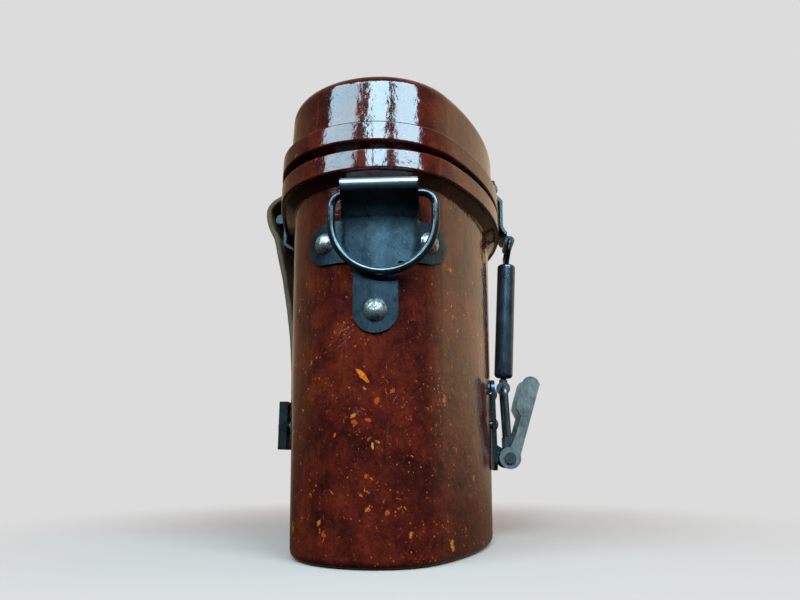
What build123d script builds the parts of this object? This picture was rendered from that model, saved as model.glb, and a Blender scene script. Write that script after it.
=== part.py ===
"""Hard-shell binocular case with hinged lid, spring toggle latch, end D-rings and a back strap."""
import math
import os

from build123d import *

# Row frame, mm: X along the wide dimension, front (latch) is -Y, rear (hinge) is +Y, +Z up,
# origin on the floor at the centre of the base.

# Case outline: an oval of tangent arcs, front and rear halves differ a little.
HALF_LEN = 80.0
FRONT_HALF, FRONT_END_R = 44.0, 28.0
REAR_HALF, REAR_END_R = 41.0, 35.0
DRAFT = 1.2
WALL = 3.4
FLOOR = 3.8
RIM_Z = 134.5
FLANGE_Z = 127.0
FLANGE_OUT = 5.0
SPIGOT_TOP = 139.9

# Lid, drawn level and then tipped a little about its front lower edge.
LID_Z = 136.0
LID_FLANGE_TOP = 143.6
LID_TOP = 164.5
LID_OUT = 2.2
LID_TILT = 1.4
LID_PIVOT = (0.0, -(FRONT_HALF + FLANGE_OUT), LID_Z)

# End brackets and D-rings.
PLATE = 0.8
BEND_Z = 111.8
ROLL_X, ROLL_Y, ROLL_Z = 84.75, -1.6, 121.35
ROLL_R = 2.1
ROLL_HALF = 13.0
RING_WIRE = 2.8
RING_X, RING_Y, RING_Z = 82.1, -2.75, 119.0
RING_HALF = 17.5
RING_DROP = 27.3
RING_CORNER = 4.6
RING_TURN = math.sin(math.pi / 4) * RING_CORNER

# Hinge.
HINGE_Y, HINGE_Z = 48.9, 136.6
HINGE_R = 2.4
HINGE_PIN = 2.4
HINGE_HALF = 15.0
LEAF = 1.2

# Back strap.
STRAP_HALF = 18.0
STRAP_T = 2.2

# Latch.
EYE_Y, EYE_Z = -53.6, 127.2
EYE_R = 2.1
LINK_WIRE = 2.0
TUBE_TOP = (-52.3, 116.0)
TUBE_BOT = (-48.8, 66.0)
TUBE_R, TUBE_BORE = 4.0, 3.2
ROD_R = 1.3
ROD_EYE = 4.4
PIN_Y, PIN_Z = -49.2, 32.2
PIN_R = 1.5
LEVER_TILT = 18.0
LEVER_LEN = 35.0
LEVER_HALF = 10.0

TAN = math.tan(math.radians(DRAFT))


def side_radius(half, end_r):
    return (half**2 + (HALF_LEN - end_r) ** 2 - end_r**2) / (2 * (half - end_r))


def half_outline(half, end_r, sign, off):
    big = side_radius(half, end_r)
    joint = math.atan2(big - half, HALF_LEN - end_r)

    def end(cx, a):
        return (cx - (end_r + off) * math.cos(a), sign * (end_r + off) * math.sin(a))

    def side(a):
        return (-(big + off) * math.cos(a), sign * ((big + off) * math.sin(a) - (big - half)))

    cx = HALF_LEN - end_r
    return [
        (end(-cx, 0), end(-cx, joint / 2), end(-cx, joint)),
        (side(joint), side(math.pi / 2), side(math.pi - joint)),
        (end(cx, math.pi - joint), end(cx, math.pi - joint / 2), end(cx, math.pi)),
    ]


def outline(off, z):
    """Case oval at height z, grown by off."""
    front = half_outline(FRONT_HALF, FRONT_END_R, -1, off)
    rear = half_outline(REAR_HALF, REAR_END_R, 1, off)
    edges = [Edge.make_three_point_arc(*[(x, y, z) for x, y in arc]) for arc in front]
    edges += [Edge.make_three_point_arc(*[(x, y, z) for x, y in arc[::-1]]) for arc in rear[::-1]]
    return Face(Wire(edges))


def frustum(z0, off0, z1, off1):
    """Solid between two case ovals."""
    if abs(off0 - off1) < 1e-6:
        return extrude(outline(off0, z0), amount=z1 - z0, dir=(0, 0, 1))
    return loft([outline(off0, z0), outline(off1, z1)], ruled=True)


def wall_off(z):
    """Outer wall's offset from the rim's oval at height z, from the draft."""
    return (z - RIM_Z) * TAN


def edges_at(shape, z, tol=0.05):
    return [e for e in shape.edges() if abs(e.bounding_box().min.Z - z) < tol
            and abs(e.bounding_box().max.Z - z) < tol]


def profile(points, half, x0=0.0):
    """Flat plate with this outline in Y-Z, as wide as 2*half in X."""
    face = make_face(Polyline(*[(x0 - half, y, z) for y, z in points], close=True))
    return extrude(face, amount=2 * half, dir=(1, 0, 0))


def ribbon(points, t, half, x0=0.0):
    """Bent sheet: centre-line points in Y-Z, thickness t, width 2*half."""
    left, right = [], []
    n = len(points)
    for i, (y, z) in enumerate(points):
        a = points[max(i - 1, 0)]
        b = points[min(i + 1, n - 1)]
        d1 = unit(y - a[0], z - a[1]) if i else unit(b[0] - y, b[1] - z)
        d2 = unit(b[0] - y, b[1] - z) if i < n - 1 else d1
        m = unit(d1[0] + d2[0], d1[1] + d2[1])
        k = t / 2 / max(0.3, m[0] * d1[0] + m[1] * d1[1])
        left.append((y - m[1] * k, z + m[0] * k))
        right.append((y + m[1] * k, z - m[0] * k))
    return profile(left + right[::-1], half, x0)


def unit(a, b):
    n = math.hypot(a, b)
    return (a / n, b / n)


def x_cyl(y, z, r, x0, x1):
    return Pos((x0 + x1) / 2, y, z) * Rot(0, 90, 0) * Cylinder(r, x1 - x0)


def tip(shape):
    x, y, z = LID_PIVOT
    return Pos(x, y, z) * Rot(LID_TILT, 0, 0) * Pos(-x, -y, -z) * shape


def tipped(y, z):
    a = math.radians(LID_TILT)
    dy, dz = y - LID_PIVOT[1], z - LID_PIVOT[2]
    return (LID_PIVOT[1] + dy * math.cos(a) - dz * math.sin(a),
            LID_PIVOT[2] + dy * math.sin(a) + dz * math.cos(a))


def dome(d, h):
    big = (d * d / 4 + h * h) / (2 * h)
    return (Pos(0, 0, h - big) * Sphere(big)) & (Pos(0, 0, h / 2) * Cylinder(d, h))


def rivet(grip, head_d, head_h, shank_d, tail_d, tail_h):
    """Head above z=0, shank down through grip, formed tail below."""
    shank = Pos(0, 0, -grip / 2) * Cylinder(shank_d / 2, grip + 0.8)
    return dome(head_d, head_h) + shank + Pos(0, 0, -grip) * Rot(180, 0, 0) * dome(tail_d, tail_h)


def washer(grip, d, t, hole):
    return Pos(0, 0, -grip + t / 2) * (Cylinder(d / 2, t) - Cylinder(hole / 2, t * 2))


def seat(x, y, z, nx, ny, nz=0.0):
    return Plane(origin=(x, y, z), z_dir=(nx, ny, nz)).location


def hull_point(y, z, off, sx=-1):
    """Point on the rounded end at this y, off from the wall, with its outward normal."""
    r = FRONT_END_R if y < 0 else REAR_END_R
    cx = HALF_LEN - r
    rr = r + wall_off(z)
    a = math.asin(y / rr)
    n = (sx * math.cos(a), math.sin(a))
    return (sx * cx + n[0] * (rr + off), n[1] * (rr + off), z, n[0], n[1])


# ---------------------------------------------------------------- fixings
BRACKET_FIX = [(17.6, 103.8), (-17.6, 103.8), (0.0, 79.4)]
BRACKET_GRIP = PLATE + WALL + 0.8


def bracket_seats():
    return [hull_point(y, z, PLATE + 0.03, sx) for sx in (-1, 1) for y, z in BRACKET_FIX]


def bracket_rivets():
    return [seat(x, y, z, nx, ny) * rivet(BRACKET_GRIP, 7.8, 2.5, 3.4, 5.4, 1.4)
            for x, y, z, nx, ny in bracket_seats()]


def bracket_washers():
    return [seat(x, y, z, nx, ny) * washer(BRACKET_GRIP, 9.0, 0.8, 3.4)
            for x, y, z, nx, ny in bracket_seats()]


def straight_rivets(places, grip, head_d, head_h, shank_d, tail_d, tail_h, y_sign):
    return [seat(x, y, z, 0, y_sign) * rivet(grip, head_d, head_h, shank_d, tail_d, tail_h)
            for x, y, z in places]


def front_wall(z):
    return -(FRONT_HALF + wall_off(z))


def rear_wall(z):
    return REAR_HALF + wall_off(z)


BASE_PLATE_T = 1.5
BASE_FIX = [(-6.0, 58.5), (6.0, 58.5), (-6.0, 46.0), (6.0, 46.0)]
BASE_BACK = front_wall(64.0) - 0.05
CATCH_FIX = [(-5.5, 152.6), (5.5, 152.6)]
BODY_LEAF_FIX = [(-10.0, 113.5), (0.0, 113.5), (10.0, 113.5)]
LID_LEAF_FIX = [(-10.0, 155.0), (0.0, 155.0), (10.0, 155.0)]
KEEPER_FIX = [(-14.0, 45.5), (14.0, 45.5)]
KEEPER_FRONT, KEEPER_SKIN = 45.1, 1.2
KEEPER_LOW, KEEPER_HIGH = 36.0, 55.2


def base_rivets():
    y = BASE_BACK - BASE_PLATE_T
    return straight_rivets([(x, y, z) for x, z in BASE_FIX], 5.3, 5.0, 1.2, 2.8, 4.8, 1.2, -1)


def catch_rivets():
    return [tip(r) for r in straight_rivets([(x, -47.55, z) for x, z in CATCH_FIX],
                                            5.92, 5.4, 1.5, 2.8, 4.8, 1.2, -1)]


def body_leaf_rivets():
    return straight_rivets([(x, 42.15, z) for x, z in BODY_LEAF_FIX], 5.0, 4.6, 1.0, 2.6, 4.6, 1.2, 1)


def lid_leaf_rivets():
    return [tip(r) for r in straight_rivets([(x, 47.65, z) for x, z in LID_LEAF_FIX],
                                            9.1, 5.4, 1.5, 2.8, 4.8, 1.2, 1)]


def keeper_rivets():
    return straight_rivets([(x, KEEPER_FRONT, z) for x, z in KEEPER_FIX], 9.45, 6.0, 1.5, 3.0, 5.0, 1.2, 1)


def drill(shape, cutters):
    for cutter in cutters:
        shape = shape - cutter
    return shape


# ---------------------------------------------------------------- shells
def body_shell():
    out = frustum(0, wall_off(0), RIM_Z, 0.0)
    out = fillet(edges_at(out, 0), 2.6)
    rim = frustum(FLANGE_Z, FLANGE_OUT, RIM_Z, FLANGE_OUT)
    rim = fillet(edges_at(rim, FLANGE_Z) + edges_at(rim, RIM_Z), 0.8)
    cove = frustum(123.8, wall_off(123.8) - 0.3, FLANGE_Z + 0.9, FLANGE_OUT - 0.8)
    spigot = frustum(RIM_Z - 1, -1.5, SPIGOT_TOP, -1.5)
    spigot = fillet(edges_at(spigot, SPIGOT_TOP), 0.6)
    cavity = frustum(FLOOR, wall_off(FLOOR) - WALL, RIM_Z, -WALL)
    cavity = fillet(edges_at(cavity, FLOOR), 3.0)
    mouth = frustum(RIM_Z - 0.5, -WALL, SPIGOT_TOP + 2, -WALL)
    shell = (out + rim + cove + spigot) - cavity - mouth
    for group in (bracket_rivets(), base_rivets(), body_leaf_rivets(), keeper_rivets()):
        shell = drill(shell, group)
    return drill(shell, bracket_washers())


def lid_shell():
    out = frustum(LID_Z + 2, LID_OUT, LID_TOP, LID_OUT - 0.4)
    out = fillet(edges_at(out, LID_TOP), 4.6)
    rim = frustum(LID_Z, FLANGE_OUT, LID_FLANGE_TOP, FLANGE_OUT)
    rim = fillet(edges_at(rim, LID_Z) + edges_at(rim, LID_FLANGE_TOP), 0.8)
    recess = frustum(LID_Z - 1, -1.0, LID_Z + 4.1, -1.0)
    cavity = frustum(LID_Z + 4.0, -2.0, LID_TOP - 3.6, -2.6)
    cavity = fillet(edges_at(cavity, LID_TOP - 3.6), 3.0)
    shell = tip((out + rim) - recess - cavity)
    return drill(drill(shell, catch_rivets()), lid_leaf_rivets())


# ---------------------------------------------------------------- end brackets
def bracket_outline():
    """T plate seen along X, as a solid slab that cuts the wrapped skin to shape."""
    def slab(face):
        return extrude(face, amount=50, dir=(-1, 0, 0))

    plane = Plane(origin=(-45, 0, 0), x_dir=(0, 1, 0), z_dir=(1, 0, 0))
    shape = plane * (Pos(ROLL_Y, 104.4) * Rectangle(2 * ROLL_HALF, 16.4))
    ears = [plane * (Pos(s * 17.4, 103.7) * Ellipse(6.7, 7.4)) for s in (-1, 1)]
    fill = plane * (Pos(0, 103.7) * Rectangle(34.8, 14.8))
    tongue = plane * (Pos(0, 88.7) * Rectangle(15.0, 18.6))
    toe = plane * (Pos(0, 79.4) * Circle(7.5))
    solid = slab(shape) + slab(fill) + slab(tongue) + slab(toe)
    for e in ears:
        solid = solid + slab(e)
    return solid


def neck_outline(z):
    """Outer and inner X of the leaning sheet at height z, and the angle of its outward normal."""
    x0 = hull_point(0.0, BEND_Z, 0.15 + PLATE)[0]
    dx, dz = -ROLL_X - x0, ROLL_Z - BEND_Z
    lean = math.atan2(dz, dx) + math.acos(-ROLL_R / math.hypot(dx, dz))
    slope = -math.sin(lean) / math.cos(lean)
    outer = x0 + (z - BEND_Z) * slope
    return outer, outer + PLATE / abs(math.cos(lean)), lean


def end_bracket():
    lo, hi = 70.0, 113.2
    skin = (frustum(lo, wall_off(lo) + 0.03 + PLATE, hi, wall_off(hi) + 0.03 + PLATE)
            - frustum(lo, wall_off(lo) + 0.03, hi, wall_off(hi) + 0.03))
    plate = skin & bracket_outline()
    # neck: curved where it meets the wrapped plate, straight at the bend over the ring
    z1 = 119.0
    ya, yb = ROLL_Y - ROLL_HALF, ROLL_Y + ROLL_HALF
    pts = []
    for y in (ya, ROLL_Y, yb):
        pts.append([hull_point(y, BEND_Z, 0.15), hull_point(y, BEND_Z, 0.15 + PLATE)])
    low = [Edge.make_three_point_arc(*[p[0][:3] for p in pts]),
           Edge.make_line(pts[2][0][:3], pts[2][1][:3]),
           Edge.make_three_point_arc(*[p[1][:3] for p in pts[::-1]]),
           Edge.make_line(pts[0][1][:3], pts[0][0][:3])]
    xf, xb, lean = neck_outline(z1)
    mid = [Vector(xb, ya, z1), Vector(xb, yb, z1), Vector(xf, yb, z1), Vector(xf, ya, z1)]
    high = [Edge.make_line(mid[i], mid[(i + 1) % 4]) for i in range(4)]
    neck = loft([Face(Wire(low)), Face(Wire(high))], ruled=True)
    # sheet turned over the ring's bar and back towards the case
    steps = 18
    turn = [lean + (math.pi / 2 - lean) * k / steps for k in range(steps + 1)]
    inner_r = ROLL_R - PLATE
    outer = [(-ROLL_X + ROLL_R * math.cos(a), ROLL_Z + ROLL_R * math.sin(a)) for a in turn]
    inner = [(-ROLL_X + inner_r * math.cos(a), ROLL_Z + inner_r * math.sin(a)) for a in turn]
    back = -80.5
    loop = ([(xf, z1 - 0.02)] + outer + [(back, ROLL_Z + ROLL_R), (back, ROLL_Z + inner_r)]
            + inner[::-1] + [(xb, z1 - 0.02)])
    face = make_face(Polyline(*[(x, ya, z) for x, z in loop], close=True))
    hook = extrude(face, amount=2 * ROLL_HALF, dir=(0, 1, 0))
    bracket = plate + neck + hook
    return drill(bracket, bracket_rivets()[:len(BRACKET_FIX)])


def d_ring():
    """Closed wire ring: straight bar in the roll, rounded corners, straight sides and a half-round bow."""
    half, corner, side = RING_HALF, RING_CORNER, RING_DROP - RING_HALF
    straight = half - corner

    def at(y, z):
        return (-RING_X, y + RING_Y, RING_Z + z)

    path = Wire([
        Edge.make_line(at(0, 0), at(straight, 0)),
        Edge.make_three_point_arc(at(straight, 0), at(straight + RING_TURN, RING_TURN - corner),
                                  at(half, -corner)),
        Edge.make_line(at(half, -corner), at(half, -side)),
        Edge.make_three_point_arc(at(half, -side), at(0, -side - half), at(-half, -side)),
        Edge.make_line(at(-half, -side), at(-half, -corner)),
        Edge.make_three_point_arc(at(-half, -corner), at(-straight - RING_TURN, RING_TURN - corner),
                                  at(-straight, 0)),
        Edge.make_line(at(-straight, 0), at(0, 0)),
    ])
    section = Plane(origin=at(0, 0), x_dir=(1, 0, 0), z_dir=(0, 1, 0)) * Circle(RING_WIRE / 2)
    return sweep(section, path=path)


# ---------------------------------------------------------------- hinge
KNUCKLES = [(-15.0, -9.1), (-8.9, -3.1), (-2.9, 2.9), (3.1, 8.9), (9.1, 15.0)]


def knuckle(x0, x1):
    tube = x_cyl(HINGE_Y, HINGE_Z, HINGE_R, x0, x1)
    return tube - x_cyl(HINGE_Y, HINGE_Z, HINGE_PIN / 2 + 0.05, x0 - 1, x1 + 1)


def hinge_body_leaf():
    pts = [(46.9, 134.0), (46.9, 125.2), (41.5, 121.6), (41.5, 108.5)]
    leaf = ribbon(pts, LEAF, HINGE_HALF)
    for x0, x1 in KNUCKLES[::2]:
        web = profile([(46.3, 133.9), (47.5, 133.9), (48.6, 136.6), (46.6, 136.6)],
                      (x1 - x0) / 2, (x0 + x1) / 2)
        leaf = leaf + (web - x_cyl(HINGE_Y, HINGE_Z, HINGE_PIN / 2 + 0.05, -20, 20)) + knuckle(x0, x1)
    return drill(leaf, body_leaf_rivets())


def hinge_lid_leaf():
    low = (46.95, 139.4)
    pts = [low, tipped(46.95, 144.4), tipped(43.85, 148.0), tipped(43.85, 160.0)]
    leaf = ribbon(pts, LEAF, HINGE_HALF)
    for x0, x1 in KNUCKLES[1::2]:
        web = profile([(46.35, 139.6), (47.55, 139.6), (48.6, 136.6), (46.6, 136.6)],
                      (x1 - x0) / 2, (x0 + x1) / 2)
        leaf = leaf + (web - x_cyl(HINGE_Y, HINGE_Z, HINGE_PIN / 2 + 0.05, -20, 20)) + knuckle(x0, x1)
    return drill(leaf, lid_leaf_rivets())


def hinge_pin():
    pin = x_cyl(HINGE_Y, HINGE_Z, HINGE_PIN / 2, -15.6, 15.6)
    for s in (-1, 1):
        pin = pin + x_cyl(HINGE_Y, HINGE_Z, 2.1, *(sorted((s * 15.2, s * 16.2))))
    return pin


# ---------------------------------------------------------------- back strap
def strap_line():
    lid = [tipped(45.6, 161.5), tipped(45.6, 149.5), tipped(48.0, 146.3)]
    loop = [(51.6, 144.2), (53.5, 141.2), (53.8, 138.0), (53.0, 134.0), (51.6, 130.2), (49.7, 126.2),
            (47.0, 117.0), (44.9, 107.8), (43.3, 98.7), (41.7, 86.0), (40.98, 77.0)]
    lower = [(rear_wall(z) + STRAP_T / 2 + 0.08, z) for z in (66.0, 36.5)]
    return lid + loop + lower


def back_strap():
    strap = ribbon(strap_line(), STRAP_T, STRAP_HALF)
    return drill(strap, lid_leaf_rivets() + keeper_rivets())


def strap_clamp():
    """Small plate that holds the top end of the strap on the lid."""
    pts = [tipped(47.25, 150.6), tipped(47.25, 159.4)]
    plate = ribbon(pts, 0.8, STRAP_HALF - 1)
    return drill(plate, lid_leaf_rivets())


def strap_keeper():
    """Pressed channel over the strap's lower end, with a post at each rivet."""
    back = rear_wall(KEEPER_HIGH) + STRAP_T + 0.2
    inside = KEEPER_FRONT - KEEPER_SKIN
    half, tall = STRAP_HALF + 2.0, KEEPER_HIGH - KEEPER_LOW
    middle = (KEEPER_LOW + KEEPER_HIGH) / 2
    block = Pos(0, (back + KEEPER_FRONT) / 2, middle) * Box(2 * half, KEEPER_FRONT - back, tall)
    hollow = Pos(0, (back + inside) / 2 - 1, middle) * Box(2 * (half - KEEPER_SKIN), inside - back + 2,
                                                           tall - 2 * KEEPER_SKIN)
    keeper = block - hollow
    post_end = inside + 0.05
    for x, z in KEEPER_FIX:
        keeper = keeper + Pos(x, (back + post_end) / 2, z) * Rot(90, 0, 0) * Cylinder(3.2, post_end - back)
    return drill(keeper, keeper_rivets())


# ---------------------------------------------------------------- catch plate and latch
def catch_plate():
    """Plate on the lid that carries the latch eye at its lower end."""
    pts = [(-46.95, 157.0), (-46.95, 148.6), (-50.05, 145.0), (-50.05, 133.2)]
    plate = ribbon([tipped(*p) for p in pts], 1.2, 10.0)
    corner = [tip(Pos(s * 10.0, -46.95, 157.0) * Rot(0, 45, 0) * Box(6.0, 4.0, 6.0)) for s in (-1, 1)]
    for c in corner:
        plate = plate - c
    low = tipped(-50.05, 133.2)
    plate = plate + ribbon([low, (-50.9, 131.0), (EYE_Y + 1.2, EYE_Z + 1.55)], 1.2, 10.0)
    roll = x_cyl(EYE_Y, EYE_Z, EYE_R, -7.2, 7.2)
    plate = plate + roll
    # room for the link's side legs
    for s in (-1, 1):
        plate = plate - Pos(s * 9.6, EYE_Y, EYE_Z) * Rot(0, 90, 0) * Cylinder(3.0, 4.4)
    plate = plate - x_cyl(EYE_Y, EYE_Z, LINK_WIRE / 2 + 0.06, -20, 20)
    return drill(plate, catch_rivets())


def tube_axis():
    dy, dz = TUBE_BOT[0] - TUBE_TOP[0], TUBE_BOT[1] - TUBE_TOP[1]
    return unit(dy, dz), math.hypot(dy, dz)


def on_tube():
    """Frame with its origin at the tube's lower end and Z up the tube."""
    (dy, dz), _ = tube_axis()
    return Plane(origin=(0, TUBE_BOT[0], TUBE_BOT[1]), x_dir=(1, 0, 0), z_dir=(0, -dy, -dz)).location


def wire(points, r, corner):
    """Round wire through points with rounded corners, by segments and elbow arcs."""
    pts = [Vector(*p) for p in points]
    edges, last = [], pts[0]
    for i in range(1, len(pts) - 1):
        a, b, c = pts[i - 1], pts[i], pts[i + 1]
        u, v = (a - b).normalized(), (c - b).normalized()
        half = math.acos(max(-1, min(1, u.dot(v)))) / 2
        if half > math.radians(88.5):
            continue
        t = corner / math.tan(half)
        s, e = b + u * t, b + v * t
        bis = (u + v).normalized()
        m = b + bis * (corner / math.sin(half) - corner)
        edges.append(Edge.make_line(last, s))
        edges.append(Edge.make_three_point_arc(s, m, e))
        last = e
    edges.append(Edge.make_line(last, pts[-1]))
    path = Wire(edges)
    d = (pts[1] - pts[0]).normalized()
    side = Vector(0, 1, 0) if abs(d.X) > 0.9 else Vector(1, 0, 0)
    section = Plane(origin=pts[0], x_dir=side - d * side.dot(d), z_dir=d) * Circle(r)
    return sweep(section, path=path)


def latch_link():
    """Wire loop: bar through the catch eye, legs drawn together into the tube's top plug."""
    (dy, dz), _ = tube_axis()
    ty, tz = TUBE_TOP

    def along(k):
        return (ty - dy * k, tz - dz * k)

    y1, z1 = along(-2.0)
    y2, z2 = along(2.6)
    y3, z3 = along(6.0)
    half = []
    for s in (-1, 1):
        half.append([(s * 1.7, y1, z1), (s * 1.7, y2, z2), (s * 8.6, y3, z3), (s * 8.6, EYE_Y, EYE_Z),
                     (0, EYE_Y, EYE_Z)])
    left = wire(half[0], LINK_WIRE / 2, 1.6)
    right = wire(half[1], LINK_WIRE / 2, 1.6)
    return left + right


def spring_tube():
    _, length = tube_axis()
    out = Pos(0, 0, length / 2) * Cylinder(TUBE_R, length)
    out = fillet(out.edges().filter_by(GeomType.CIRCLE).sort_by(Axis.Z)[0], 1.8)
    out = fillet(out.edges().filter_by(GeomType.CIRCLE).sort_by(Axis.Z)[-1], 0.3)
    bore = Pos(0, 0, length / 2 + 2.0) * Cylinder(TUBE_BORE, length)
    hole = Cylinder(ROD_R + 0.06, 10)
    return on_tube() * (out - bore - hole)


def tube_plug():
    """Domed plug that closes the top of the tube and grips the link's two ends."""
    _, length = tube_axis()
    body = Pos(0, 0, length - 2.5) * Cylinder(TUBE_BORE, 5.0)
    cap = Pos(0, 0, length + 0.8) * Cylinder(TUBE_R, 1.6)
    cap = fillet(cap.edges().filter_by(GeomType.CIRCLE).sort_by(Axis.Z)[-1], 1.4)
    return on_tube() * (body + cap) - latch_link()


def latch_spring():
    """Compression spring between the tube's lower end and the rod's head."""
    coil_r, wire_r, low, high, pitch = 2.25, 0.4, 2.6, 38.4, 2.1
    helix = Pos(0, 0, low) * Helix(pitch, high - low, coil_r)
    section = Plane(origin=helix @ 0, x_dir=(0, 0, 1), z_dir=helix % 0) * Circle(wire_r)
    return on_tube() * sweep(section, path=helix, is_frenet=True)


def spring_rod():
    """Rod with a head inside the tube and an eye below it."""
    hole = Pos(0, 0, -ROD_EYE) * Rot(0, 90, 0) * Cylinder(1.26, 6)
    rod = Pos(0, 0, 18.8) * Cylinder(ROD_R, 43.6)
    head = Pos(0, 0, 40.4) * Cylinder(TUBE_BORE - 0.2, 3.0)
    neck = Pos(0, 0, -2.0) * Cylinder(1.8, 2.4)
    eye = Pos(0, 0, -ROD_EYE) * Rot(0, 90, 0) * Cylinder(2.9, 3.2)
    return on_tube() * (rod + head + neck + eye - hole)


def bail_top():
    (dy, dz), _ = tube_axis()
    return (TUBE_BOT[0] + dy * ROD_EYE, TUBE_BOT[1] + dz * ROD_EYE)


def bail():
    """Wire bail from the rod's eye to the lever pin, with an eye on each leg."""
    ny, nz = bail_top()
    leg = 6.9
    top = PIN_Z + 8.0
    pts = [(-leg, PIN_Y, top), (-leg, ny, nz - 0.001), (leg, ny, nz - 0.001), (leg, PIN_Y, top)]
    out = wire(pts, 1.2, 3.0)
    for s in (-1, 1):
        flat = Pos(s * leg, PIN_Y, PIN_Z + 4.6) * Box(2.0, 3.0, 8.0)
        eye = x_cyl(PIN_Y, PIN_Z, 2.8, s * leg - 1.0, s * leg + 1.0)
        out = out + flat + eye
    return out - x_cyl(PIN_Y, PIN_Z, PIN_R + 0.06, -20, 20)


def lever_frame():
    """Frame at the pin: X as the row's, Y outward from the lever's back, Z up the lever."""
    a = math.radians(LEVER_TILT)
    return Plane(origin=(0, PIN_Y, PIN_Z), x_dir=(1, 0, 0), z_dir=(0, -math.sin(a), math.cos(a))).location


def latch_lever():
    """U-channel lever. In its own frame -Y is the outer side."""
    def slab(face):
        return extrude(face, amount=1.2, dir=(1, 0, 0))

    def cheek(x0):
        pl = Plane(origin=(x0, 0, 0), x_dir=(0, 1, 0), z_dir=(1, 0, 0))
        boss = slab(pl * Circle(4.4))
        bar = slab(make_face(Polyline(*[(x0, y, z) for y, z in
                   [(-3.7, 0), (1.2, 3.0), (0.3, 10.0), (0.3, 17.5), (3.1, 20.5), (3.4, 24.0),
                    (3.4, LEVER_LEN - 3.6), (-3.7, LEVER_LEN - 3.6)]], close=True)))
        end = slab(pl * (Pos(-0.15, LEVER_LEN - 3.6) * Circle(3.55)))
        return boss + bar + end

    lever = cheek(-LEVER_HALF) + cheek(LEVER_HALF - 1.2)
    web = Pos(0, -3.1, 18.0) * Box(2 * LEVER_HALF, 1.2, 30.0)
    cap = Pos(0, -0.15, LEVER_LEN - 3.6) * Rot(0, 90, 0) * Cylinder(3.55, 2 * LEVER_HALF)
    core = Pos(0, -0.15, LEVER_LEN - 3.6) * Rot(0, 90, 0) * Cylinder(2.35, 2 * LEVER_HALF - 2.4)
    cap = cap - core - Pos(0, 5.0, LEVER_LEN - 3.6) * Box(2 * LEVER_HALF - 2.4, 10.0, 12.0)
    cap = cap - Pos(0, 0, LEVER_LEN - 9.6) * Box(2 * LEVER_HALF - 2.4, 12.0, 12.0)
    lever = lever + web + cap
    lever = lever - Rot(0, 90, 0) * Cylinder(PIN_R, 60)
    return lever_frame() * lever


def lever_pin():
    pin = x_cyl(PIN_Y, PIN_Z, PIN_R, -10.1, 10.1)
    for s in (-1, 1):
        pin = pin + x_cyl(PIN_Y, PIN_Z, 2.3, *(sorted((s * 10.02, s * 10.9))))
    return pin


def base_plate():
    """Plate on the case front with a ledge that holds the lever pin down."""
    y0, y1 = BASE_BACK, BASE_BACK - BASE_PLATE_T
    plate = Pos(0, (y0 + y1) / 2, 45.9) * Box(20.0, BASE_PLATE_T, 37.4)
    corners = plate.edges().filter_by(Axis.Y)
    plate = fillet(corners, 4.0)
    z0 = PIN_Z + PIN_R + 1.1
    ledge = profile([(y1 + 0.5, z0 + 3.4), (y1 + 0.5, z0), (PIN_Y - 0.4, z0), (PIN_Y - 0.4, z0 + 1.4),
                     (y1 - 2.2, z0 + 1.6)], 4.0)
    plate = plate + ledge
    return drill(plate, base_rivets())


# ---------------------------------------------------------------- pads
def base_pad():
    lo, hi = FLOOR + 0.05, FLOOR + 5.0
    pad = frustum(lo, wall_off(lo) - WALL - 2.4, hi, wall_off(hi) - WALL - 2.2)
    return fillet(edges_at(pad, hi), 1.6)


def lid_pad():
    hi = LID_TOP - 3.65
    pad = frustum(hi - 5.0, -5.0, hi, -5.6)
    return tip(fillet(edges_at(pad, hi - 5.0), 1.6))


def group(items):
    return Compound(children=[s for i in items for s in (i.solids() if hasattr(i, "solids") else [i])])


def main():
    os.makedirs("parts", exist_ok=True)
    left_bracket, left_ring = end_bracket(), d_ring()
    nodes = {
        "body_shell": body_shell(),
        "lid_shell": lid_shell(),
        "left_end_bracket": left_bracket,
        "right_end_bracket": mirror(left_bracket, about=Plane.YZ),
        "left_d_ring": left_ring,
        "right_d_ring": mirror(left_ring, about=Plane.YZ),
        "bracket_rivets": group(bracket_rivets()),
        "bracket_washers": group(bracket_washers()),
        "hinge_body_leaf": hinge_body_leaf(),
        "hinge_lid_leaf": hinge_lid_leaf(),
        "hinge_pin": hinge_pin(),
        "body_leaf_rivets": group(body_leaf_rivets()),
        "lid_leaf_rivets": group(lid_leaf_rivets()),
        "back_strap": back_strap(),
        "strap_clamp": strap_clamp(),
        "strap_keeper": strap_keeper(),
        "keeper_rivets": group(keeper_rivets()),
        "catch_plate": catch_plate(),
        "catch_rivets": group(catch_rivets()),
        "latch_link": latch_link(),
        "spring_tube": spring_tube(),
        "tube_plug": tube_plug(),
        "latch_spring": latch_spring(),
        "spring_rod": spring_rod(),
        "bail": bail(),
        "latch_lever": latch_lever(),
        "lever_pin": lever_pin(),
        "base_plate": base_plate(),
        "base_rivets": group(base_rivets()),
        "base_pad": base_pad(),
        "lid_pad": lid_pad(),
    }
    for name, shape in nodes.items():
        export_step(shape, f"parts/{name}.step")


main()
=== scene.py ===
"""Looks for the hard-shell binocular case: materials, leather strap, felt pads, light and camera."""
import math

import bpy
from mathutils import Matrix, Vector, noise


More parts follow.
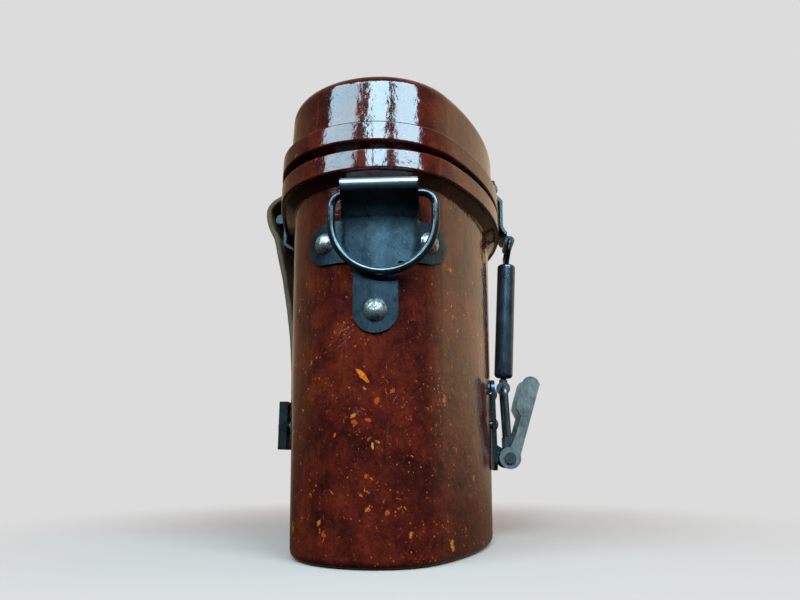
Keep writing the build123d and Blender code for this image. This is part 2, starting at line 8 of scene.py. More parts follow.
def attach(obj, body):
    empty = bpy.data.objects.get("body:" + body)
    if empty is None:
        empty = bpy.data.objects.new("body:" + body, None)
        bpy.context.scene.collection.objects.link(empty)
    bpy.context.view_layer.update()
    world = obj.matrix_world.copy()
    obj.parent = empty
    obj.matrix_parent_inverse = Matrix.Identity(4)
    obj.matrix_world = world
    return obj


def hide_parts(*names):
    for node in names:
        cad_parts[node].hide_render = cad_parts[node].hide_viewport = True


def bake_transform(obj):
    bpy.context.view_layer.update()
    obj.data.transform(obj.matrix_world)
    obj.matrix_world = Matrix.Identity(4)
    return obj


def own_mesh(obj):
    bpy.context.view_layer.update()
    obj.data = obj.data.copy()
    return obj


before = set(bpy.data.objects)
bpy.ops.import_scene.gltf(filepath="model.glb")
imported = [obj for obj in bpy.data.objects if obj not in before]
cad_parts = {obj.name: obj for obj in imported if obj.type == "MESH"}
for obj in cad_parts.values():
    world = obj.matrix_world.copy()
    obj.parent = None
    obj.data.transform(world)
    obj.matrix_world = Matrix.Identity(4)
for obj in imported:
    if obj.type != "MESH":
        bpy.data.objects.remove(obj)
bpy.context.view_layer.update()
MM = 0.001


# ---------------------------------------------------------------- node helpers
class Mat:
    """A node material with short calls for the nodes used here. Positions are in mm."""

    def __init__(self, name):
        self.m = bpy.data.materials.new(name)
        self.m.use_nodes = True
        self.t = self.m.node_tree
        self.bsdf = next(n for n in self.t.nodes if n.type == "BSDF_PRINCIPLED")
        coord = self.add("ShaderNodeTexCoord")
        scale = self.add("ShaderNodeVectorMath", operation="SCALE")
        scale.inputs["Scale"].default_value = 1000.0
        self.link(coord.outputs["Object"], scale.inputs[0])
        self.pos = scale.outputs[0]
        split = self.add("ShaderNodeSeparateXYZ")
        self.link(self.pos, split.inputs[0])
        self.x, self.y, self.z = split.outputs

    def add(self, kind, **props):
        n = self.t.nodes.new(kind)
        for k, v in props.items():
            setattr(n, k, v)
        return n

    def link(self, a, b):
        self.t.links.new(a, b)

    def put(self, value, socket):
        if isinstance(value, bpy.types.NodeSocket):
            self.link(value, socket)
        else:
            socket.default_value = value

    def math(self, op, a, b=0.0, c=0.0, clamp=False):
        n = self.add("ShaderNodeMath", operation=op, use_clamp=clamp)
        for v, s in zip((a, b, c), n.inputs):
            self.put(v, s)
        return n.outputs[0]

    def mapped(self, scale=(1, 1, 1), rot=(0, 0, 0), loc=(0, 0, 0), vector=None):
        """Point p becomes rot(p * scale) + loc, in the Mapping node's order."""
        n = self.add("ShaderNodeMapping", vector_type="POINT")
        self.link(vector or self.pos, n.inputs["Vector"])
        n.inputs["Location"].default_value = loc
        n.inputs["Rotation"].default_value = rot
        n.inputs["Scale"].default_value = scale
        return n.outputs[0]

    def noise(self, size, detail=4.0, rough=0.55, distort=0.0, vector=None, colour=False):
        """Noise whose features are about size mm across."""
        n = self.add("ShaderNodeTexNoise")
        self.link(vector or self.pos, n.inputs["Vector"])
        n.inputs["Scale"].default_value = 1.0 / size
        n.inputs["Detail"].default_value = detail
        n.inputs["Roughness"].default_value = rough
        n.inputs["Distortion"].default_value = distort
        return n.outputs["Color" if colour else "Fac"]

    def ramp(self, fac, stops, mode="LINEAR"):
        n = self.add("ShaderNodeValToRGB")
        n.color_ramp.interpolation = mode
        e = n.color_ramp.elements
        while len(e) < len(stops):
            e.new(0.5)
        for el, (p, c) in zip(e, stops):
            el.position = p
            el.color = (*c, 1.0) if isinstance(c, tuple) else (c, c, c, 1.0)
        self.put(fac, n.inputs["Fac"])
        return n.outputs["Color"]

    def step(self, value, low, high):
        """0 below low, 1 above high, smooth between. low may be above high."""
        n = self.add("ShaderNodeMapRange", interpolation_type="SMOOTHSTEP")
        self.put(value, n.inputs["Value"])
        a, b, c, d = (low, high, 0.0, 1.0) if low < high else (high, low, 1.0, 0.0)
        for k, v in (("From Min", a), ("From Max", b), ("To Min", c), ("To Max", d)):
            n.inputs[k].default_value = v
        return n.outputs["Result"]

    def mix(self, fac, a, b, mode="MIX"):
        n = self.add("ShaderNodeMix", data_type="RGBA", blend_type=mode)
        self.put(fac, n.inputs[0])
        for v, s in ((a, n.inputs[6]), (b, n.inputs[7])):
            self.put((*v, 1.0) if isinstance(v, tuple) else v, s)
        return n.outputs[2]

    def blob(self, centre, size, rot=(0, 0, 0), warp=0.0):
        """Distance field of an ellipsoid: 0 at its centre, 1 on its surface."""
        n = self.add("ShaderNodeMapping", vector_type="TEXTURE")
        v = self.pos
        if warp:
            w = self.noise(1.6, 3.0, colour=True)
            off = self.add("ShaderNodeVectorMath", operation="SUBTRACT")
            self.link(w, off.inputs[0])
            off.inputs[1].default_value = (0.5, 0.5, 0.5)
            more = self.add("ShaderNodeVectorMath", operation="SCALE")
            self.link(off.outputs[0], more.inputs[0])
            more.inputs["Scale"].default_value = warp
            total = self.add("ShaderNodeVectorMath", operation="ADD")
            self.link(v, total.inputs[0])
            self.link(more.outputs[0], total.inputs[1])
            v = total.outputs[0]
        self.link(v, n.inputs["Vector"])
        n.inputs["Location"].default_value = centre
        n.inputs["Rotation"].default_value = rot
        n.inputs["Scale"].default_value = size
        length = self.add("ShaderNodeVectorMath", operation="LENGTH")
        self.link(n.outputs[0], length.inputs[0])
        return length.outputs["Value"]

    def bump(self, height, depth, strength=1.0, under=None):
        """height 0-1 stands for depth mm."""
        n = self.add("ShaderNodeBump")
        n.inputs["Strength"].default_value = strength
        n.inputs["Distance"].default_value = depth * MM
        self.link(height, n.inputs["Height"])
        if under:
            self.link(under, n.inputs["Normal"])
        return n.outputs["Normal"]

    def surface(self, colour, rough, normal=None, **fixed):
        self.put(colour if not isinstance(colour, tuple) else (*colour, 1.0),
                 self.bsdf.inputs["Base Color"])
        self.put(rough, self.bsdf.inputs["Roughness"])
        if normal:
            self.link(normal, self.bsdf.inputs["Normal"])
        for k, v in fixed.items():
            self.put(v, self.bsdf.inputs[k.replace("_", " ")])
        return self.m


# ---------------------------------------------------------------- materials
def fleck_layer(m, cell, stretch, rot, offset, radius, keep, amount):
    """Random slivers of light fibre. Returns (mask, random value per sliver)."""
    turned = m.mapped((1, 1, 1), rot)
    v = m.mapped((1 / cell, 1 / cell, 1 / (cell * stretch)), (0, 0, 0), offset, turned)
    ragged = m.add("ShaderNodeVectorMath", operation="MULTIPLY_ADD")
    m.link(m.noise(cell * 0.35, 4.0, 0.7, colour=True), ragged.inputs[0])
    ragged.inputs[1].default_value = (0.85, 0.85, 0.85)
    m.link(v, ragged.inputs[2])
    n = m.add("ShaderNodeTexVoronoi", feature="F1", distance="EUCLIDEAN")
    m.link(ragged.outputs[0], n.inputs["Vector"])
    n.inputs["Scale"].default_value = 1.0
    n.inputs["Randomness"].default_value = 1.0
    split = m.add("ShaderNodeSeparateColor")
    m.link(n.outputs["Color"], split.inputs[0])
    r, g, _ = split.outputs
    size = m.math("MULTIPLY", m.math("MULTIPLY_ADD", r, 0.75, 0.25), radius)
    inside = m.step(m.math("SUBTRACT", size, n.outputs["Distance"]), 0.0, 0.06)
    chance = m.math("LESS_THAN", g, m.math("MULTIPLY", amount, keep))
    return m.math("MULTIPLY", inside, chance), r


def phenolic(name, shade=1.0, flecks=1.0):
    """Moulded compound: clouded red-brown with flow streaks, fibre slivers and a rippled gloss."""
    m = Mat(name)
    warm = m.noise(21.0, 6.0, 0.62, 0.8)
    cloud = m.noise(7.0, 8.0, 0.66, 0.4)
    tone = m.math("MULTIPLY_ADD", cloud, 0.42, m.math("MULTIPLY", warm, 0.40))
    tone = m.math("MULTIPLY_ADD", m.noise(1.9, 5.0, 0.7), 0.18, tone)
    s = shade
    base = m.ramp(tone, [(0.37, (0.012 * s, 0.0030 * s, 0.0034 * s)),
                         (0.47, (0.060 * s, 0.0068 * s, 0.0046 * s)),
                         (0.55, (0.115 * s, 0.0120 * s, 0.0058 * s)),
                         (0.68, (0.200 * s, 0.0290 * s, 0.0070 * s))])
    # vertical flow streaks in the moulding
    streak = m.noise(2.6, 5.0, 0.7, 0.2, m.mapped((1, 1, 0.12)))
    base = m.mix(m.math("MULTIPLY", m.step(streak, 0.56, 0.70), 0.30), base, (0.24 * s, 0.042 * s, 0.009 * s))
    grain = m.noise(0.55, 3.0, 0.7)
    base = m.mix(m.math("MULTIPLY", m.step(grain, 0.56, 0.70), 0.34), base, (0.27 * s, 0.040 * s, 0.010 * s))
    soot = m.noise(1.2, 4.0, 0.75)
    base = m.mix(m.math("MULTIPLY", m.step(soot, 0.50, 0.34), 0.55), base, (0.016 * s, 0.005 * s, 0.004 * s))
    # more fibre lower on the case, and in drifts
    drift = m.step(m.noise(15.0, 4.0, 0.65), 0.42, 0.64)
    low = m.step(m.z, 112.0, 60.0)
    amount = m.math("MULTIPLY", m.math("MULTIPLY_ADD", low, 0.70, 0.30),
                    m.math("MULTIPLY_ADD", drift, 0.90 * flecks, 0.14 * flecks))
    layers = [(5.6, 1.6, (0.35, 0.2, 0.5), (3.1, 1.7, 9.2), 0.25, 0.30),
              (3.0, 1.9, (-0.7, 0.3, 1.4), (7.7, 5.1, 2.4), 0.27, 0.34),
              (1.7, 2.8, (0.9, -0.2, 2.2), (1.3, 8.8, 4.6), 0.26, 0.50),
              (1.0, 2.4, (-0.3, 0.9, 0.3), (4.4, 2.2, 6.1), 0.28, 0.60),
              (1.3, 5.5, (1.3, 0.1, 0.8), (9.4, 3.3, 1.9), 0.17, 0.70),
              (1.2, 5.5, (0.1, 0.1, 0.8), (2.4, 6.3, 5.9), 0.17, 0.70),
              (1.0, 4.5, (0.7, 0.4, 0.1), (5.2, 0.7, 8.3), 0.19, 0.60),
              (1.2, 5.0, (-0.9, 0.2, 1.1), (8.1, 4.6, 0.4), 0.17, 0.60)]
    fibres = m.noise(0.45, 3.0, 0.75, 0.4, m.mapped((1, 1, 0.45), (0.5, 0, 0)))
    thread = m.step(fibres, 0.36, 0.52)
    for cell, stretch, rot, offset, radius, keep in layers:
        mask, rand = fleck_layer(m, cell, stretch, rot, offset, radius, keep, amount)
        tint = m.ramp(rand, [(0.0, (0.24, 0.020, 0.005)), (0.45, (0.46, 0.048, 0.006)),
                             (0.85, (0.66, 0.095, 0.009)), (1.0, (0.78, 0.21, 0.030))])
        base = m.mix(m.math("MULTIPLY", mask, m.math("MULTIPLY_ADD", thread, 0.62, 0.25)), base, tint)
    orange = m.noise(2.0, 3.0, 0.55)
    wavy = m.noise(7.0, 2.0, 0.5)
    relief = m.math("MULTIPLY_ADD", orange, 0.5, m.math("MULTIPLY", wavy, 1.2))
    relief = m.math("MULTIPLY_ADD", m.noise(0.8, 3.0, 0.6), 0.12, relief)
    dimple = m.noise(3.6, 2.0, 0.5, 0.6, m.mapped((1, 1, 0.7)))
    relief = m.math("MULTIPLY_ADD", dimple, 0.9, relief)
    normal = m.bump(relief, 0.125)
    rough = m.math("MULTIPLY_ADD", m.noise(9.0, 6.0, 0.72), 0.14, 0.035)
    return m, base, rough, normal


def scratch_arc(m, cy, cz, radius, width, span):
    """Fine arc in the Y-Z plane, faded at its ends. span is (middle angle, half angle)."""
    dy, dz = m.math("SUBTRACT", m.y, cy), m.math("SUBTRACT", m.z, cz)
    r = m.math("SQRT", m.math("ADD", m.math("POWER", dy, 2.0), m.math("POWER", dz, 2.0)))
    off = m.math("ABSOLUTE", m.math("SUBTRACT", r, radius))
    line = m.step(off, width, width * 0.35)
    angle = m.math("ARCTAN2", dz, dy)
    ends = m.step(m.math("ABSOLUTE", m.math("SUBTRACT", angle, span[0])), span[1], span[1] * 0.5)
    return m.math("MULTIPLY", line, ends)


def body_phenolic():
    m, base, rough, normal = phenolic("phenolic_body")
    thread = m.step(m.noise(0.5, 3.0, 0.75, 0.4, m.mapped((1, 1, 0.5), (0.9, 0, 0))), 0.36, 0.54)
    near = m.step(m.x, -66.0, -70.0)
    marks = [((-79.3, 4.1, 58.3), (3.0, 0.85, 3.6), -0.73, (1.0, 0.19, 0.008)),
             ((-79.0, 0.9, 36.4), (2.0, 0.60, 1.5), -0.15, (0.72, 0.30, 0.09)),
             ((-78.6, 10.6, 27.4), (2.0, 1.15, 1.5), 0.4, (0.62, 0.075, 0.010)),
             ((-79.0, -7.4, 65.0), (2.0, 0.75, 0.95), 0.0, (0.60, 0.10, 0.014)),
             ((-79.0, -0.6, 50.2), (2.0, 1.0, 1.2), 0.5, (0.56, 0.065, 0.010)),
             ((-79.0, 2.2, 44.3), (2.0, 1.25, 0.75), 0.0, (0.56, 0.075, 0.011)),
             ((-78.0, -10.9, 45.2), (2.0, 0.95, 0.8), 0.8, (0.56, 0.080, 0.012)),
             ((-77.9, -14.3, 50.7), (2.0, 0.55, 1.35), -0.6, (0.54, 0.070, 0.012))]
    for centre, size, turn, colour in marks:
        d = m.blob(centre, size, (turn, 0, 0), 1.5)
        mask = m.math("MULTIPLY", m.step(d, 1.10, 0.70), near)
        base = m.mix(m.math("MULTIPLY", mask, m.math("MULTIPLY_ADD", thread, 0.65, 0.30)), base, colour)
    # hairline crack in the flange at the end of the case
    wander = m.math("MULTIPLY", m.math("SUBTRACT", m.noise(1.7, 3.0, 0.7), 0.5), 1.7)
    gap = m.math("ABSOLUTE", m.math("ADD", m.math("SUBTRACT", m.y, 0.5), wander))
    crack = m.math("MULTIPLY", m.math("MULTIPLY", m.step(gap, 0.13, 0.04), m.step(m.z, 126.6, 127.4)),
                   m.step(m.x, -79.0, -81.0))
    base = m.mix(m.math("MULTIPLY", crack, 0.9), base, (0.004, 0.002, 0.002))
    # fine pale scratches and one dull blue-grey rub
    lines = None
    for args in ((4.0, 52.0, 22.5, 0.055, (1.22, 0.17)), (2.0, 58.0, 17.5, 0.045, (1.08, 0.21)),
                 (30.0, 96.0, 32.0, 0.045, (-2.28, 0.10)), (27.0, 90.0, 26.5, 0.05, (-2.18, 0.12)),
                 (-6.0, 66.0, 19.0, 0.045, (0.42, 0.14)), (-34.0, 34.0, 29.0, 0.05, (0.55, 0.06)),
                 (44.0, 30.0, 42.0, 0.045, (2.72, 0.05)), (-60.0, 20.0, 62.0, 0.05, (0.52, 0.03))):
        one = scratch_arc(m, *args)
        lines = one if lines is None else m.math("MAXIMUM", lines, one)
    lines = m.math("MULTIPLY", lines, near)
    base = m.mix(m.math("MULTIPLY", lines, 0.34), base, (0.40, 0.25, 0.20))
    worn = m.step(m.blob((-79.2, 9.8, 69.4), (3.0, 0.75, 3.8), (-0.13, 0, 0), 1.3), 1.05, 0.35)
    rub = m.math("MULTIPLY", worn, near)
    base = m.mix(m.math("MULTIPLY", rub, 0.55), base, (0.085, 0.075, 0.085))
    rough = m.math("ADD", rough, m.math("MULTIPLY", m.math("ADD", rub, lines), 0.25))
    cut = m.math("SUBTRACT", 1.0, m.math("MAXIMUM", crack, m.math("MULTIPLY", lines, 0.2)))
    normal = m.bump(cut, 0.12, under=normal)
    return m.surface(base, rough, normal, Specular_IOR_Level=0.62, IOR=1.58)


def lid_phenolic():
    m, base, rough, normal = phenolic("phenolic_lid", 0.9, 0.5)
    return m.surface(base, rough, normal, Specular_IOR_Level=0.62, IOR=1.58)


def steel(name, dark, light, rough_low=0.24, rough_span=0.22, wear=0.25, brush=(1, 1, 1), metal=0.85):
    """Blackened steel: mottled, rubbed, with fine brushing and small pits."""
    m = Mat(name)
    cloud = m.noise(6.0, 6.0, 0.65, 0.3)
    lines = m.noise(0.9, 4.0, 0.7, 0.0, m.mapped(brush))
    tone = m.math("MULTIPLY_ADD", cloud, 0.6, m.math("MULTIPLY", lines, 0.4))
    base = m.ramp(tone, [(0.34, dark), (0.66, light)])
    rub = m.noise(1.4, 5.0, 0.75)
    base = m.mix(m.math("MULTIPLY", m.step(rub, 0.60, 0.72), wear), base,
                 tuple(min(1.0, c * 2.4 + 0.02) for c in light))
    pits = m.step(m.noise(0.6, 2.0, 0.6), 0.30, 0.24)
    base = m.mix(m.math("MULTIPLY", pits, 0.8), base, (0.004, 0.004, 0.004))
    rough = m.math("MULTIPLY_ADD", m.noise(2.4, 6.0, 0.7), rough_span, rough_low)
    relief = m.math("ADD", m.math("MULTIPLY", m.noise(1.1, 4.0, 0.65), 0.5), m.math("MULTIPLY", lines, 0.35))
    relief = m.math("SUBTRACT", relief, m.math("MULTIPLY", pits, 0.4))
    normal = m.bump(relief, 0.035)
    return m.surface(base, rough, normal, Metallic=metal)


def bracket_steel():
    """Blued steel with a soft bend where the sheet leaves the wall, a painted highlight on the roll over the
    ring and painted shade on the leaning neck.
    """
    m = Mat("steel_bracket")
    dark, light = (0.022, 0.038, 0.050), (0.095, 0.148, 0.182)
    cloud = m.noise(6.0, 6.0, 0.65, 0.3)
    lines = m.noise(0.9, 4.0, 0.7, 0.0, m.mapped((1, 1, 0.35)))
    tone = m.math("MULTIPLY_ADD", cloud, 0.6, m.math("MULTIPLY", lines, 0.4))
    base = m.ramp(tone, [(0.34, dark), (0.66, light)])
    rub = m.step(m.noise(1.4, 5.0, 0.75), 0.62, 0.74)
    base = m.mix(m.math("MULTIPLY", rub, 0.14), base, (0.25, 0.34, 0.40))
    across = m.math("ABSOLUTE", m.math("ADD", m.y, 1.6))
    middle = m.step(across, 13.4, 12.2)
    # painted highlight: the roll over the ring is mixed towards a pale blue-grey
    roll = m.math("MULTIPLY", m.step(m.z, 119.2, 120.6), middle)
    base = m.mix(m.math("MULTIPLY", roll, 0.9), base, (0.42, 0.50, 0.54))
    # painted shade: the leaning neck between the bend and the roll is darkened nearly to black
    leaning = m.math("MULTIPLY", m.step(m.z, 112.6, 115.6), m.step(m.z, 119.4, 118.6))
    neck_shade = m.math("MULTIPLY", leaning, middle)
    base = m.mix(m.math("MULTIPLY", neck_shade, 0.8), base, (0.012, 0.016, 0.018))
    rough = m.math("MULTIPLY_ADD", m.noise(2.4, 6.0, 0.7), 0.12, 0.22)
    rough = m.math("ADD", rough, m.math("MULTIPLY", roll, 0.05))
    relief = m.math("ADD", m.math("MULTIPLY", m.noise(1.1, 4.0, 0.65), 0.5), m.math("MULTIPLY", lines, 0.35))
    fine = m.bump(relief, 0.035)
    away = m.math("ABSOLUTE", m.math("SUBTRACT", m.z, 111.8))
    hump = m.math("MULTIPLY", m.math("EXPONENT", m.math("MULTIPLY", away, -0.42)), middle)
    normal = m.bump(hump, 0.70, under=fine)
    return m.surface(base, rough, normal, Metallic=0.85)


def worn_rivet():
    m = Mat("rivet_steel_aged")
    patch = m.noise(1.5, 6.0, 0.72, 0.5)
    speck = m.noise(0.5, 4.0, 0.7)
    tone = m.math("MULTIPLY_ADD", speck, 0.35, m.math("MULTIPLY", patch, 0.65))
    base = m.ramp(tone, [(0.38, (0.014, 0.013, 0.013)), (0.46, (0.13, 0.125, 0.12)),
                         (0.53, (0.52, 0.52, 0.51)), (0.64, (0.80, 0.80, 0.79))])
    rough = m.ramp(tone, [(0.38, 0.62), (0.60, 0.30)])
    normal = m.bump(m.math("MULTIPLY_ADD", patch, 0.8, m.math("MULTIPLY", speck, 0.3)), 0.11)
    return m.surface(base, rough, normal, Metallic=0.9)


def leather():
    m = Mat("strap_leather_old")
    cells = m.add("ShaderNodeTexVoronoi", feature="DISTANCE_TO_EDGE")
    m.link(m.mapped((1, 1, 0.8), (0.4, 0.3, 0.2)), cells.inputs["Vector"])
    cells.inputs["Scale"].default_value = 1.15
    grain = m.step(cells.outputs["Distance"], 0.0, 0.16)
    cloud = m.noise(9.0, 6.0, 0.65, 0.5)
    base = m.ramp(cloud, [(0.32, (0.160, 0.078, 0.034)), (0.52, (0.290, 0.158, 0.074)),
                          (0.70, (0.400, 0.235, 0.120))])
    base = m.mix(m.math("MULTIPLY", m.step(grain, 0.6, 0.0), 0.45), base, (0.035, 0.026, 0.018))
    scuff = m.step(m.noise(3.2, 6.0, 0.8, 0.6, m.mapped((1, 1, 0.35))), 0.58, 0.72)
    base = m.mix(m.math("MULTIPLY", scuff, 0.4), base, (0.26, 0.23, 0.18))
    # the cut edges are darker and fibrous
    edge = m.step(m.math("ABSOLUTE", m.x), 17.2, 17.8)
    fibre = m.noise(0.5, 4.0, 0.7, 0.0, m.mapped((1, 1, 0.3)))
    frayed = m.math("MULTIPLY", edge, m.math("MULTIPLY_ADD", fibre, 0.6, 0.3))
    base = m.mix(frayed, base, (0.075, 0.060, 0.042))
    rough = m.math("MULTIPLY_ADD", m.noise(4.0, 4.0, 0.6), 0.22, 0.58)
    relief = m.math("ADD", m.math("MULTIPLY", grain, 0.5), m.math("MULTIPLY", fibre, 0.35))
    normal = m.bump(relief, 0.10)
    return m.surface(base, rough, normal, Specular_IOR_Level=0.12)


def felt():
    m = Mat("felt_pressed")
    fibre = m.noise(0.7, 6.0, 0.8, 1.2)
    tone = m.math("MULTIPLY_ADD", m.noise(6.0, 4.0, 0.6), 0.4, m.math("MULTIPLY", fibre, 0.6))
    base = m.ramp(tone, [(0.34, (0.075, 0.072, 0.066)), (0.66, (0.20, 0.195, 0.18))])
    hair = m.step(m.noise(0.35, 5.0, 0.85, 3.0), 0.60, 0.70)
    base = m.mix(m.math("MULTIPLY", hair, 0.35), base, (0.36, 0.34, 0.30))
    return m.surface(base, 0.95, m.bump(fibre, 0.35), Sheen_Weight=0.35, Specular_IOR_Level=0.2)


MATERIALS = {
    "blued": steel("steel_blued", (0.022, 0.038, 0.050), (0.090, 0.140, 0.175), 0.22, 0.12, 0.16,
                   (1, 1, 0.35)),
    "bracket": bracket_steel(),
    "ring": steel("steel_ring", (0.018, 0.025, 0.028), (0.100, 0.125, 0.135), 0.07, 0.09, 0.14, (1, 1, 1)),
    "tube": steel("steel_tube", (0.042, 0.060, 0.072), (0.170, 0.235, 0.275), 0.16, 0.12, 0.10, (1, 1, 0.15)),
    "dark": steel("steel_dark", (0.016, 0.021, 0.024), (0.070, 0.088, 0.096), 0.26, 0.14, 0.16, (1, 1, 1)),
    "worn": steel("steel_worn", (0.070, 0.070, 0.064), (0.320, 0.312, 0.285), 0.40, 0.20, 0.40,
                  (1, 1, 0.3), 0.65),
    "rod": steel("steel_rod", (0.040, 0.050, 0.056), (0.210, 0.235, 0.245), 0.26, 0.16, 0.30, (1, 1, 0.3)),
    "spring": steel("steel_spring", (0.22, 0.22, 0.22), (0.45, 0.45, 0.44), 0.26, 0.2, 0.2),
    "rivet": worn_rivet(),
    "body": body_phenolic(),
    "lid": lid_phenolic(),
    "leather": leather(),
    "felt": felt(),
}

DRESS = {
    "body": ["body_shell"],
    "lid": ["lid_shell"],
    "bracket": ["left_end_bracket", "right_end_bracket"],
    "blued": ["base_plate"],
    "ring": ["left_d_ring", "right_d_ring"],
    "tube": ["spring_tube", "tube_plug", "strap_clamp"],
    "dark": ["latch_link", "catch_plate", "strap_keeper", "hinge_body_leaf", "hinge_lid_leaf", "hinge_pin"],
    "worn": ["latch_lever"],
    "rod": ["bail", "lever_pin", "spring_rod"],
    "spring": ["latch_spring"],
    "rivet": ["bracket_rivets", "bracket_washers", "body_leaf_rivets", "lid_leaf_rivets", "keeper_rivets",
              "catch_rivets", "base_rivets"],
}


def dress():
    for key, nodes in DRESS.items():
        for node in nodes:
            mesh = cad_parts[node].data
            if not mesh.materials:
                mesh.materials.append(None)
            for i in range(len(mesh.materials)):
                mesh.materials[i] = MATERIALS[key]


dress()


# ---------------------------------------------------------------- mesh helpers
def new_object(name, verts, faces, material, smooth=True):
    mesh = bpy.data.meshes.new(name)
    mesh.from_pydata([tuple(c * MM for c in v) for v in verts], [], faces)
    mesh.validate()
    mesh.materials.append(material)
    if smooth:
        mesh.shade_smooth()
    obj = bpy.data.objects.new(name, mesh)
    bpy.context.scene.collection.objects.link(obj)
    return obj


def catmull(points, per_span):
    """Smooth line through the points."""
    out = []
    n = len(points)
    for i in range(n - 1):
        p0, p1, p2, p3 = (points[max(0, min(n - 1, i + k))] for k in (-1, 0, 1, 2))
        for j in range(per_span):
            t = j / per_span
            out.append(tuple(0.5 * (2 * b + (c - a) * t + (2 * a - 5 * b + 4 * c - d) * t * t
                                    + (3 * b - a - 3 * c + d) * t**3) for a, b, c, d in zip(p0, p1, p2, p3)))
    out.append(points[-1])
    return out


# ---------------------------------------------------------------- back strap
REAR_SIDE_R = 206.75
STRAP_HALF, STRAP_T = 18.0, 2.2
STRAP_LINE = [(45.2, 160.6), (45.6, 155.0), (45.95, 150.2), (47.9, 146.5), (51.4, 144.1), (53.5, 141.2),
              (53.9, 138.0), (53.1, 134.0), (51.6, 130.2), (49.7, 126.0), (48.0, 117.0), (46.2, 107.8),
              (44.6, 98.7), (43.2, 90.0), (42.1, 82.0), (41.35, 74.0), (40.85, 66.0), (40.6, 56.0),
              (40.4, 46.0), (40.15, 37.0)]


def strap_section():
    """Rounded flat section with a creased line near each edge, as (x, out) pairs."""
    h, t, r = STRAP_HALF, STRAP_T / 2, 0.75
    outer = []
    for x in [-h + r + i * (2 * h - 2 * r) / 36 for i in range(37)]:
        groove = 0.22 * math.exp(-((abs(x) - 15.3) / 0.35) ** 2)
        outer.append((x, t - groove))
    corner = [(math.cos(a), math.sin(a)) for a in (math.pi / 2 * k / 4 for k in range(1, 5))]
    right = [(h - r + r * s, t - r + r * c) for c, s in corner]
    right += [(h - r + r * c, -(t - r) - r * s) for c, s in [(1, 0)] + corner]
    inner = [(x, -t) for x in [h - r - i * (2 * h - 2 * r) / 18 for i in range(1, 19)]]
    left = [(-x, y) for x, y in reversed(right)]
    return outer + right + inner + left[1:]


def make_strap():
    """Sweeps the section along the strap's line, with a little waviness."""
    line = catmull(STRAP_LINE, 6)
    section = strap_section()
    verts, faces = [], []
    k = len(section)
    for i, (y, z) in enumerate(line):
        a, b = line[max(0, i - 1)], line[min(len(line) - 1, i + 1)]
        ty, tz = b[0] - a[0], b[1] - a[1]
        n = math.hypot(ty, tz)
        ny, nz = -tz / n, ty / n
        bow = min(1.0, max(0.0, (124.0 - z) / 16.0))
        end = min(1.0, min(i, len(line) - 1 - i) / 2.0)
        for x, out in section:
            wob = 0.10 * noise.noise(Vector((x * 0.11, z * 0.10, 3.0)))
            wob += 0.05 * noise.noise(Vector((x * 0.5, z * 0.45, 8.0)))
            out2 = out * (0.82 + 0.18 * end) + wob
            drop = bow * x * x / (2 * REAR_SIDE_R)
            verts.append((x * (0.985 + 0.015 * end), y + ny * out2 - drop, z + nz * out2))
    for i in range(len(line) - 1):
        for j in range(k):
            p, q = i * k + j, i * k + (j + 1) % k
            faces.append((p, q, q + k, p + k))
    faces.append(tuple(range(k))[::-1])
    faces.append(tuple((len(line) - 1) * k + j for j in range(k)))
    return new_object("leather_back_strap", verts, faces, MATERIALS["leather"])


strap = make_strap()
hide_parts("back_strap")
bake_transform(strap)


# ---------------------------------------------------------------- felt pads
PAD_SHRINK = 0.985
PAD_VOXEL = 1.7 * MM
PAD_SWELL = 0.4 * MM
PAD_FRAMES = 12


def make_pad(name, node, body):
    """Felt pad: the CAD pad's shape, remeshed, swelled by a short cloth run, then fuzzed a little."""
    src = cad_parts[node]
    mesh = src.data.copy()
    mesh.name = name
    obj = bpy.data.objects.new(name, mesh)
    bpy.context.scene.collection.objects.link(obj)
    centre = sum((v.co for v in mesh.vertices), Vector()) / len(mesh.vertices)
    for v in mesh.vertices:
        v.co = centre + (v.co - centre) * PAD_SHRINK
    view = bpy.context.view_layer
    view.objects.active = obj
    rem = obj.modifiers.new("remesh", "REMESH")
    rem.mode = "VOXEL"
    rem.voxel_size = PAD_VOXEL
    bpy.ops.object.modifier_apply(modifier=rem.name)
    rest = [v.co.copy() for v in obj.data.vertices]
    mod = obj.modifiers.new("cloth", "CLOTH")
    c = mod.settings
    c.use_pressure = True
    c.uniform_pressure_force = 0.6
    c.effector_weights.gravity = 0.0
    c.quality = 4
    c.mass = 0.3
    c.tension_stiffness = c.compression_stiffness = 30.0
    c.bending_stiffness = 4.0
    mod.point_cache.frame_start, mod.point_cache.frame_end = 1, PAD_FRAMES
    for f in range(1, PAD_FRAMES + 1):
        bpy.context.scene.frame_set(f)
    view.update()
    got = obj.evaluated_get(bpy.context.evaluated_depsgraph_get()).data
    moved = [v.co.copy() for v in got.vertices]
    obj.modifiers.remove(mod)
    bpy.context.scene.frame_set(1)
    for v, a, b in zip(obj.data.vertices, rest, moved):
        d = b - a
        v.co = a + (d if d.length < PAD_SWELL else d * (PAD_SWELL / d.length))
    for v in obj.data.vertices:
        p = v.co * 1000.0
        w = noise.noise(p * 0.16) * 0.16 + noise.noise(p * 0.5) * 0.07
        v.co += v.normal * (w * MM)
    obj.data.materials.clear()
    obj.data.materials.append(MATERIALS["felt"])
    obj.data.shade_smooth()
    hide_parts(node)
    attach(obj, body)


make_pad("felt_base_pad", "base_pad", "body")
make_pad("felt_lid_pad", "lid_pad", "lid")


def make_spring():
    """Copy of the CAD coil spring, carried with the latch tube so its lower end stays on the tube's bottom.
    """
    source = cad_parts["latch_spring"]
    mesh = source.data.copy()
    mesh.name = "closing_coil_spring"
    mesh.transform(source.matrix_world)
    obj = bpy.data.objects.new("closing_coil_spring", mesh)
    bpy.context.scene.collection.objects.link(obj)
    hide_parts("latch_spring")
    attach(obj, "latch_tube")
    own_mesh(obj)


make_spring()


# ---------------------------------------------------------------- stage, light, camera
PAPER = (0.716, 0.716, 0.716)


